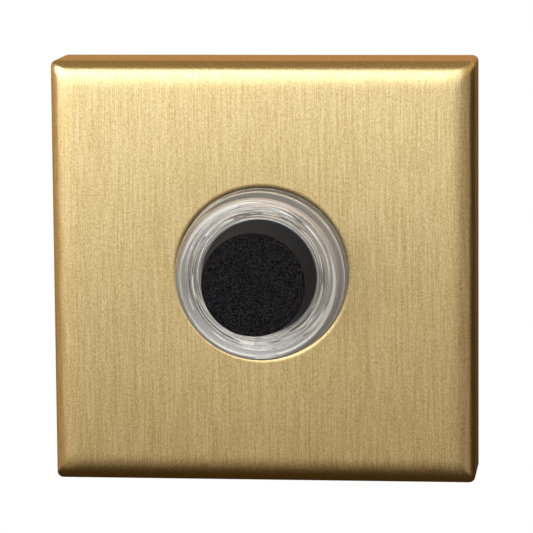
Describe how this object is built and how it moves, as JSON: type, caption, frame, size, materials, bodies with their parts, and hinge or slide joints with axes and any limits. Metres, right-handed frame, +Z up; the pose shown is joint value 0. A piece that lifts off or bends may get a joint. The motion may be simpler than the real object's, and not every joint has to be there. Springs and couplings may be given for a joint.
{
  "type": "doorbell push button",
  "caption": "Square brushed brass wall plate with a clear collar and a black spring-return push button that closes a pair of screw terminals behind the plate.",
  "frame": {"origin": "centre of the plate's back, on the wall face", "axes": "+X to the right, +Y into the wall, +Z up; the button faces -Y"},
  "size_m": [0.05, 0.0328, 0.05],
  "materials": {
    "satin_brass": "satin brushed brass, brushed up and down",
    "natural_nylon": "moulded natural nylon, fine matt grain",
    "white_silicone": "soft white silicone",
    "clear_polycarbonate": "clear moulded polycarbonate",
    "black_plastic": "black moulded plastic with a fine grain",
    "spring_steel": "bright spring steel",
    "phosphor_bronze": "rolled phosphor bronze",
    "phenolic_brown": "dark moulded phenolic",
    "zinc_steel": "zinc plated steel",
    "screw_brass": "turned brass",
    "nickel_brass": "nickel plated brass"
  },
  "bodies": {
    "housing": {"cover_plate": "satin_brass", "base_plate": "natural_nylon", "flange_seal": "white_silicone", "clear_collar": "clear_polycarbonate", "return_spring": "spring_steel", "terminal_left": "phosphor_bronze", "terminal_right": "phosphor_bronze", "terminal_base": "phenolic_brown", "wire_clamp_left": "zinc_steel", "wire_clamp_right": "zinc_steel", "terminal_screws": "screw_brass", "lock_washer": "zinc_steel", "ring_nut": "nickel_brass"},
    "button": {"button_cap": "black_plastic", "contact_bridge": "phosphor_bronze", "stem_clip": "spring_steel"}
  },
  "joints": [
    {"name": "button_press", "type": "slide", "parent": "housing", "child": "button", "axis": [0, 1, 0], "range_m": [0, 0.0018], "stiffness_N_per_m": 350, "springref_m": -0.003, "deforming": ["return_spring"]}
  ]
}
